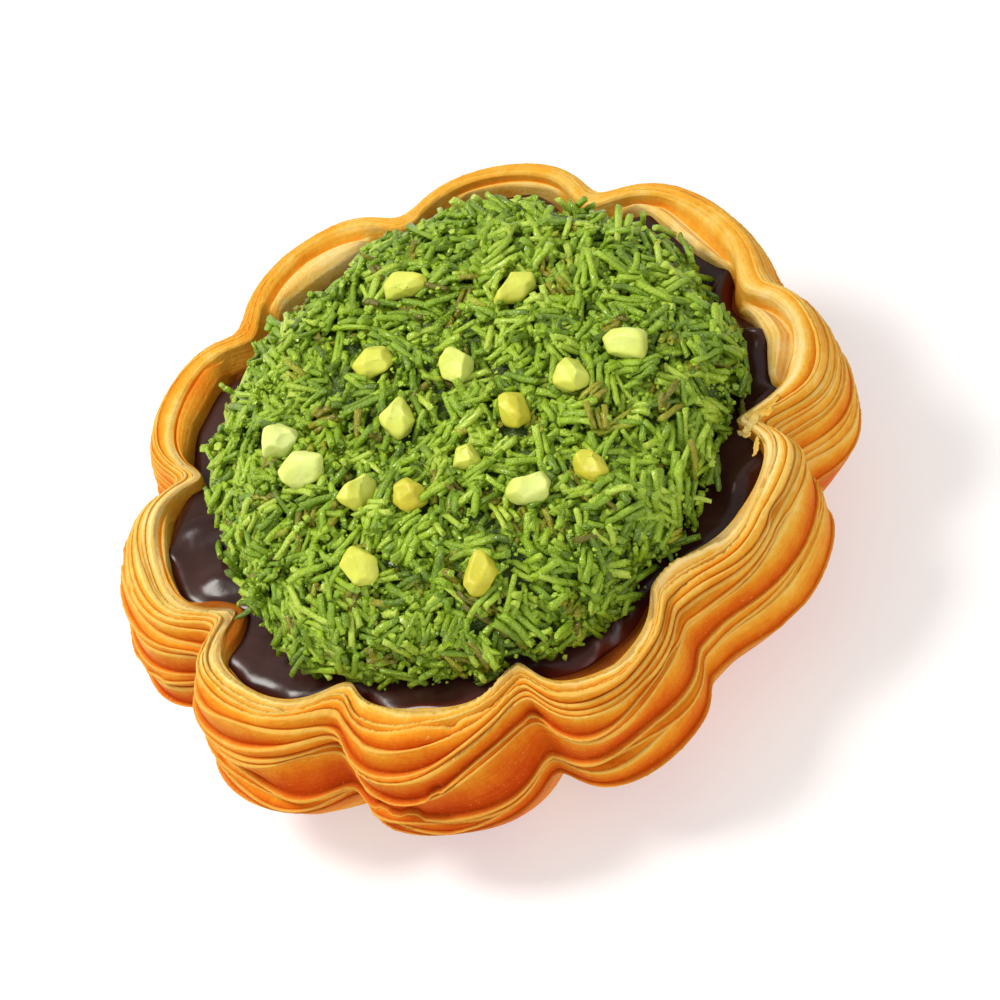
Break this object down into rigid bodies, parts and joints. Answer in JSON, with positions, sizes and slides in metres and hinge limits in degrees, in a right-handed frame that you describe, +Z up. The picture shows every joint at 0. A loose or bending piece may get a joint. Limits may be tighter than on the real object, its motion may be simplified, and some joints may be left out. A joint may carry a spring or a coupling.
{
  "type": "egg tart",
  "caption": "Flower-shaped egg tart: a flaky layered crust with dark glossy chocolate, under a domed heap of green chopped shredded pastry dotted with broken pistachios.",
  "frame": {"origin": "middle of the flat underside", "axes": "+Z up, -Y towards the side that faces the camera in the picture, +X to its right"},
  "size_m": [0.0797, 0.0793, 0.0348],
  "materials": {
    "crust": "golden brown baked flaky pastry, satin",
    "chocolate": "dark chocolate, glossy",
    "shreds": "green coated shredded pastry, rough with a slight shine",
    "nut": "broken pistachio kernel, satin"
  },
  "bodies": {
    "root": {"pastry_crust": "crust", "chocolate": "chocolate", "shredded_pastry": "shreds", "pistachio_01": "nut", "pistachio_02": "nut", "pistachio_03": "nut", "pistachio_04": "nut", "pistachio_05": "nut", "pistachio_06": "nut", "pistachio_07": "nut", "pistachio_08": "nut", "pistachio_09": "nut", "pistachio_10": "nut", "pistachio_11": "nut", "pistachio_12": "nut", "pistachio_13": "nut", "pistachio_14": "nut", "pistachio_15": "nut", "pistachio_16": "nut", "pistachio_17": "nut"}
  },
  "joints": []
}
